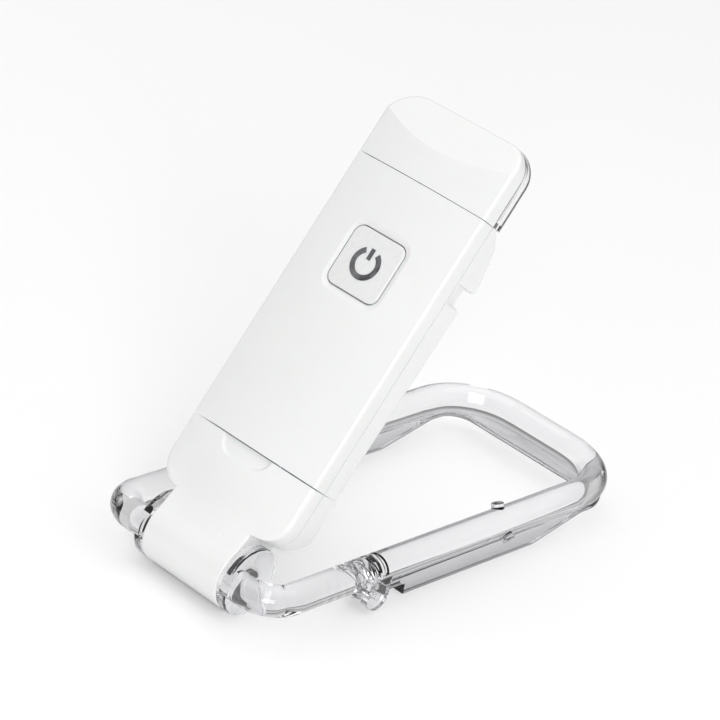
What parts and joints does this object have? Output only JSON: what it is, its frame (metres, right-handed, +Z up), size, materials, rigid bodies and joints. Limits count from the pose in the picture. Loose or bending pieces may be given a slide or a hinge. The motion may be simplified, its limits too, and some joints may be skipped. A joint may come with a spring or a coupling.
{
  "type": "clip-on reading lamp",
  "caption": "Rechargeable clip-on reading lamp: flat white body that pulls off its hinged holder, clear loop clip with a sprung lower jaw.",
  "frame": {"origin": "middle of the bounding box at the plane the lamp stands on", "axes": "+Z up, +Y from the hinge towards the tip of the clip, +X to the right seen from the front of the lamp"},
  "size_m": [0.052, 0.1142, 0.0905],
  "materials": {
    "white_shell": "glossy moulded",
    "white_button": "glossy moulded",
    "clear_clip": "clear moulded plastic",
    "clear_lens": "clear moulded plastic",
    "symbol_grey": "printed dark metallic grey",
    "white_inner": "matt white",
    "black_plastic": "matt",
    "board_green": "solder mask",
    "led_yellow": "phosphor and silicone",
    "steel": "bright",
    "copper_wire": "tinned",
    "gold_contact": "plated",
    "cell_foil": "foil pouch",
    "foam": "foam tape"
  },
  "bodies": {
    "clip": {"clip_loop": "clear_clip", "hinge_shaft": "steel", "jaw_pins": "steel", "jaw_springs": "steel"},
    "holder": {"holder_front": "white_shell", "holder_rear": "white_shell", "friction_sleeves": "white_inner"},
    "lamp": {"front_shell": "white_shell", "rear_shell": "white_shell", "head_cover": "white_shell", "head_lens": "clear_lens", "reflector": "white_inner", "led_board": "white_inner", "leds": "led_yellow", "led_leads": "copper_wire", "switch_body": "black_plastic", "main_board": "board_green", "board_screws": "steel", "board_parts": "black_plastic", "battery": "cell_foil", "battery_pad": "foam", "battery_leads": "copper_wire", "usb_shell": "steel", "usb_tongue": "white_inner", "usb_contacts": "gold_contact"},
    "button": {"button": "white_button", "power_symbol": "symbol_grey", "switch_plunger": "black_plastic"},
    "jaw": {"lower_jaw": "clear_clip"}
  },
  "joints": [
    {"name": "tilt", "type": "hinge", "parent": "clip", "child": "holder", "pos_m": [0, -0.0496, 0.0072], "axis": [1, 0, 0], "range_deg": [-52, 122.6]},
    {"name": "lamp_slide", "type": "slide", "parent": "holder", "child": "lamp", "axis": [0, 0.5388, 0.8425], "range_m": [0, 0.02]},
    {"name": "button_press", "type": "slide", "parent": "lamp", "child": "button", "axis": [0, 0.8425, -0.5388], "range_m": [0, 0.00035], "stiffness_N_per_m": 600, "springref_m": -0.0005},
    {"name": "jaw_hinge", "type": "hinge", "parent": "clip", "child": "jaw", "pos_m": [0, -0.025, 0.0036], "axis": [-1, 0, 0], "range_deg": [0, 26], "stiffness_Nm_per_rad": 0.1, "springref_deg": -45.84, "deforming": ["jaw_springs"]}
  ]
}
